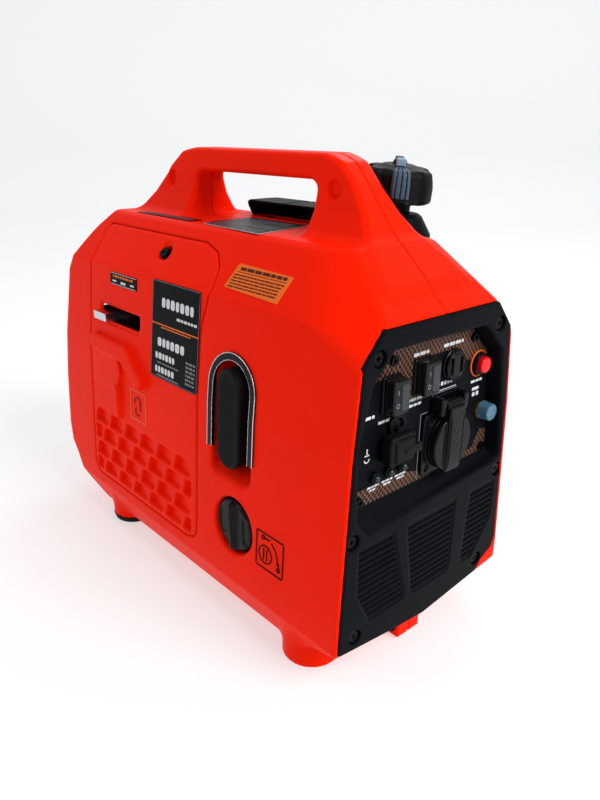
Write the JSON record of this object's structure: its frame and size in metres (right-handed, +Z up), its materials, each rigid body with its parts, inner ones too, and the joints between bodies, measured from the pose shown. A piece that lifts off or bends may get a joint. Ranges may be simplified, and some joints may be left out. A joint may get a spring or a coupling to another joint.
{
  "type": "portable generator",
  "caption": "Suitcase-style inverter generator: two-shell case with carry handle, front control panel, recoil starter, filler cap and service cover.",
  "frame": {"origin": "centre of the footprint, on the ground under the feet", "axes": "+X out of the front control panel, -Y out of the starter side, +Z up"},
  "size_m": [0.452, 0.2, 0.382],
  "materials": {
    "case_red": "moulded plastic with a fine grain, orange-red",
    "screw_steel": "zinc-plated cross-head screws",
    "black_plastic": "black moulded plastic",
    "grip_rubber": "black moulded rubber",
    "rope": "braided starter rope",
    "bright_steel": "bright plated steel",
    "plate_charcoal": "printed film on a charcoal plate",
    "switch_black": "smooth black plastic",
    "clear_boot": "clear soft plastic, slightly milky",
    "button_red": "bright red plastic",
    "usb_rubber": "matt black soft cap",
    "lamp_clear": "clear domed lamps",
    "terminal_brass": "brass stud and nut",
    "terminal_clear": "clear bluish cap",
    "tank_black": "blow-moulded tank",
    "cast_alloy": "cast and finned alloy",
    "ceramic_white": "white ceramic with a steel body",
    "piston_steel": "machined alloy",
    "fan_grey": "dark grey casting",
    "winding_copper": "varnished copper windings",
    "muffler_steel": "heat-tinted sheet steel"
  },
  "bodies": {
    "case": {"starter_side_shell": "case_red", "tank_side_shell": "case_red", "case_screws": "screw_steel", "starter_trim": "black_plastic", "rope_eyelet": "bright_steel", "front_panel": "black_plastic", "control_plate": "plate_charcoal", "panel_screws": "screw_steel", "plate_screws": "screw_steel", "eco_switch": "switch_black", "eco_boot": "clear_boot", "output_switch": "switch_black", "output_boot": "clear_boot", "parallel_socket": "switch_black", "reset_collar": "switch_black", "ac_outlet": "switch_black", "usb_outlet": "switch_black", "usb_tether_ring": "usb_rubber", "indicator_lamps": "lamp_clear", "ground_terminal": "terminal_brass", "rear_cover": "black_plastic", "foot_pads": "grip_rubber", "filler_neck": "black_plastic", "top_cover": "black_plastic", "fuel_tank": "tank_black", "fuel_hose": "grip_rubber", "crankcase": "cast_alloy", "cylinder": "cast_alloy", "cylinder_head": "cast_alloy", "valve_cover": "black_plastic", "spark_plug": "ceramic_white", "plug_cap": "grip_rubber", "piston": "piston_steel", "connecting_rod": "cast_alloy", "stator": "winding_copper", "recoil_housing": "black_plastic", "muffler": "muffler_steel", "carburettor": "cast_alloy", "air_cleaner": "black_plastic", "inverter_module": "cast_alloy", "engine_mounts": "grip_rubber"},
    "starter_pull": {"starter_grip": "grip_rubber", "starter_rope": "rope"},
    "pulley": {"recoil_pulley": "cast_alloy"},
    "crank": {"crankshaft": "bright_steel", "flywheel_fan": "fan_grey", "rotor": "fan_grey"},
    "engine_dial": {"engine_knob": "black_plastic"},
    "choke": {"choke_lever": "bright_steel"},
    "eco_paddle": {"eco_rocker": "switch_black"},
    "output_paddle": {"output_rocker": "switch_black"},
    "reset": {"reset_button": "button_red"},
    "outlet_lid": {"ac_lid": "switch_black"},
    "usb_cover": {"usb_cap": "usb_rubber"},
    "terminal_cover": {"terminal_cap": "terminal_clear"},
    "side_cover": {"maintenance_cover": "case_red"},
    "side_cover_screw": {"cover_screw": "screw_steel"},
    "cap_lift": {"cap_seal": "grip_rubber"},
    "cap_turn": {"fuel_cap": "black_plastic"},
    "vent_turn": {"vent_knob": "black_plastic"}
  },
  "joints": [
    {"name": "starter_pull_slide", "type": "slide", "parent": "case", "child": "starter_pull", "axis": [0, -1, 0], "range_m": [0, 0.15], "stiffness_N_per_m": 60, "springref_m": -0.03},
    {"name": "pulley_turn", "type": "hinge", "parent": "case", "child": "pulley", "pos_m": [0.005, -0.072, 0.112], "axis": [0, 1, 0], "range_deg": [0, 270]},
    {"name": "crank_turn", "type": "hinge", "parent": "case", "child": "crank", "pos_m": [0.005, 0, 0.112], "axis": [0, 1, 0], "continuous": true},
    {"name": "engine_dial_turn", "type": "hinge", "parent": "case", "child": "engine_dial", "pos_m": [0.0995, -0.09, 0.0925], "axis": [0, -1, 0], "range_deg": [0, 90]},
    {"name": "choke_slide", "type": "slide", "parent": "case", "child": "choke", "axis": [1, 0, 0], "range_m": [0, 0.028]},
    {"name": "eco_rock", "type": "hinge", "parent": "case", "child": "eco_paddle", "pos_m": [0.209, -0.041, 0.227], "axis": [0, 1, 0], "range_deg": [0, 20]},
    {"name": "output_rock", "type": "hinge", "parent": "case", "child": "output_paddle", "pos_m": [0.209, -0.008, 0.233], "axis": [0, 1, 0], "range_deg": [0, 20]},
    {"name": "reset_press", "type": "slide", "parent": "case", "child": "reset", "axis": [-1, 0, 0], "range_m": [0, 0.003], "stiffness_N_per_m": 600, "springref_m": -0.002},
    {"name": "outlet_lid_hinge", "type": "hinge", "parent": "case", "child": "outlet_lid", "pos_m": [0.219, 0.0215, 0.206], "axis": [0, -1, 0], "range_deg": [0, 110], "stiffness_Nm_per_rad": 0.05, "springref_deg": -20.05},
    {"name": "usb_cover_hinge", "type": "hinge", "parent": "case", "child": "usb_cover", "pos_m": [0.216, -0.038, 0.2005], "axis": [0, -1, 0], "range_deg": [0, 100]},
    {"name": "terminal_cover_slide", "type": "slide", "parent": "case", "child": "terminal_cover", "axis": [1, 0, 0], "range_m": [0, 0.03]},
    {"name": "side_cover_slide", "type": "slide", "parent": "case", "child": "side_cover", "axis": [0, -1, 0], "range_m": [0, 0.08]},
    {"name": "side_cover_screw_turn", "type": "hinge", "parent": "side_cover", "child": "side_cover_screw", "pos_m": [-0.032, -0.068, 0.296], "axis": [0, -0.7771, 0.6293], "continuous": true},
    {"name": "cap_lift_slide", "type": "slide", "parent": "case", "child": "cap_lift", "axis": [0.1219, 0, 0.9925], "range_m": [0, 0.05]},
    {"name": "cap_turn_hinge", "type": "hinge", "parent": "cap_lift", "child": "cap_turn", "pos_m": [0.13046, 0.048, 0.35691], "axis": [0.1219, 0, 0.9925], "range_deg": [0, 120]},
    {"name": "vent_turn_hinge", "type": "hinge", "parent": "cap_turn", "child": "vent_turn", "pos_m": [0.13266, 0.048, 0.37478], "axis": [0.1219, 0, 0.9925], "range_deg": [0, 90]}
  ],
  "couplings": [
    {"joint": "pulley_turn", "follows": "starter_pull_slide", "rad_per_m": 31.25}
  ]
}
